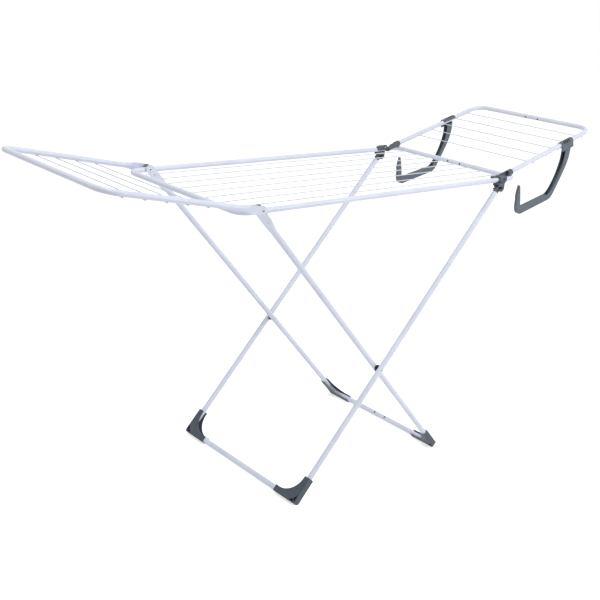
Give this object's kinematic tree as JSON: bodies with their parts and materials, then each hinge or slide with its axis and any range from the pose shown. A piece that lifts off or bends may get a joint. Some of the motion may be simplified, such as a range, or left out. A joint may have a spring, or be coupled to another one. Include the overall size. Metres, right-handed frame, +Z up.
{
  "type": "clothes drying rack",
  "caption": "Folding clothes drying rack: wire tray with two hinged wings on crossed tube legs, and two hook arms for hangers.",
  "frame": {"origin": "bottom centre of the whole rack's box, on the floor, halfway across and halfway along", "axes": "+X along the rack to the wing that carries the hook arms, +Y across it from front to back, +Z up from the floor"},
  "size_m": [1.9902, 0.5792, 1.0803],
  "materials": {
    "white_tube": "smooth white powder coat with a slight lavender cast",
    "white_wire": "white coated steel wire",
    "zinc_steel": "zinc plated, slightly dull",
    "grey_plastic": "dark slate grey moulding, fine grain",
    "arm_plastic": "slate grey moulding, fine grain",
    "dark_plastic": "dark slate grey moulding, fine grain",
    "black_plastic": "black moulding",
    "washer_plastic": "grey-green moulding"
  },
  "bodies": {
    "inner_legs": {"inner_leg_frame": "white_tube", "inner_foot_joint_sleeve": "zinc_steel", "inner_foot_cap_back": "dark_plastic", "inner_foot_cap_front": "dark_plastic", "leg_cross_rivets": "zinc_steel", "leg_cross_spacers": "black_plastic", "left_hinge_rivets": "zinc_steel", "left_hinge_inner_washers": "washer_plastic"},
    "outer_legs": {"outer_leg_frame": "white_tube", "outer_foot_cap_back": "dark_plastic", "outer_foot_cap_front": "dark_plastic", "leg_top_plug_back": "grey_plastic", "leg_top_plug_front": "grey_plastic", "leg_top_pins": "black_plastic"},
    "tray": {"tray_frame": "white_tube", "tray_wires": "white_wire", "tray_joint_sleeve": "zinc_steel", "rail_bracket_back": "grey_plastic", "rail_bracket_front": "grey_plastic", "wing_pivot_pins": "black_plastic"},
    "left_wing": {"left_wing_frame": "white_tube", "left_wing_wires": "white_wire", "left_hinge_outer_washers": "washer_plastic"},
    "right_wing": {"right_wing_frame": "white_tube", "right_wing_wires": "white_wire", "right_wing_joint_sleeve": "zinc_steel", "wing_end_socket_back": "grey_plastic", "wing_end_socket_front": "grey_plastic"},
    "hook_arm_front": {"hook_arm_front": "arm_plastic"},
    "hook_arm_back": {"hook_arm_back": "arm_plastic"}
  },
  "joints": [
    {"name": "leg_fold", "type": "hinge", "parent": "inner_legs", "child": "outer_legs", "pos_m": [-0.00312, 0, 0.36989], "axis": [0, -1, 0], "range_deg": [0, 80]},
    {"name": "tray_lift", "type": "hinge", "parent": "inner_legs", "child": "tray", "pos_m": [-0.52231, 0, 0.935], "axis": [0, -1, 0], "range_deg": [0, 38.4]},
    {"name": "left_wing_fold", "type": "hinge", "parent": "tray", "child": "left_wing", "pos_m": [-0.52231, 0, 0.935], "axis": [0, 1, 0], "range_deg": [0, 153]},
    {"name": "right_wing_fold", "type": "hinge", "parent": "tray", "child": "right_wing", "pos_m": [0.48869, 0, 0.935], "axis": [0, -1, 0], "range_deg": [0, 149]},
    {"name": "front_hook_swing", "type": "hinge", "parent": "right_wing", "child": "hook_arm_front", "pos_m": [0.83962, -0.258, 1.03166], "axis": [0.9641, 0, 0.2656], "range_deg": [-45, 10]},
    {"name": "back_hook_swing", "type": "hinge", "parent": "right_wing", "child": "hook_arm_back", "pos_m": [0.81648, 0.258, 1.02529], "axis": [0.9641, 0, 0.2656], "range_deg": [-10, 45]}
  ],
  "couplings": [
    {"joint": "tray_lift", "follows": "leg_fold", "ratio": 0.48}
  ]
}
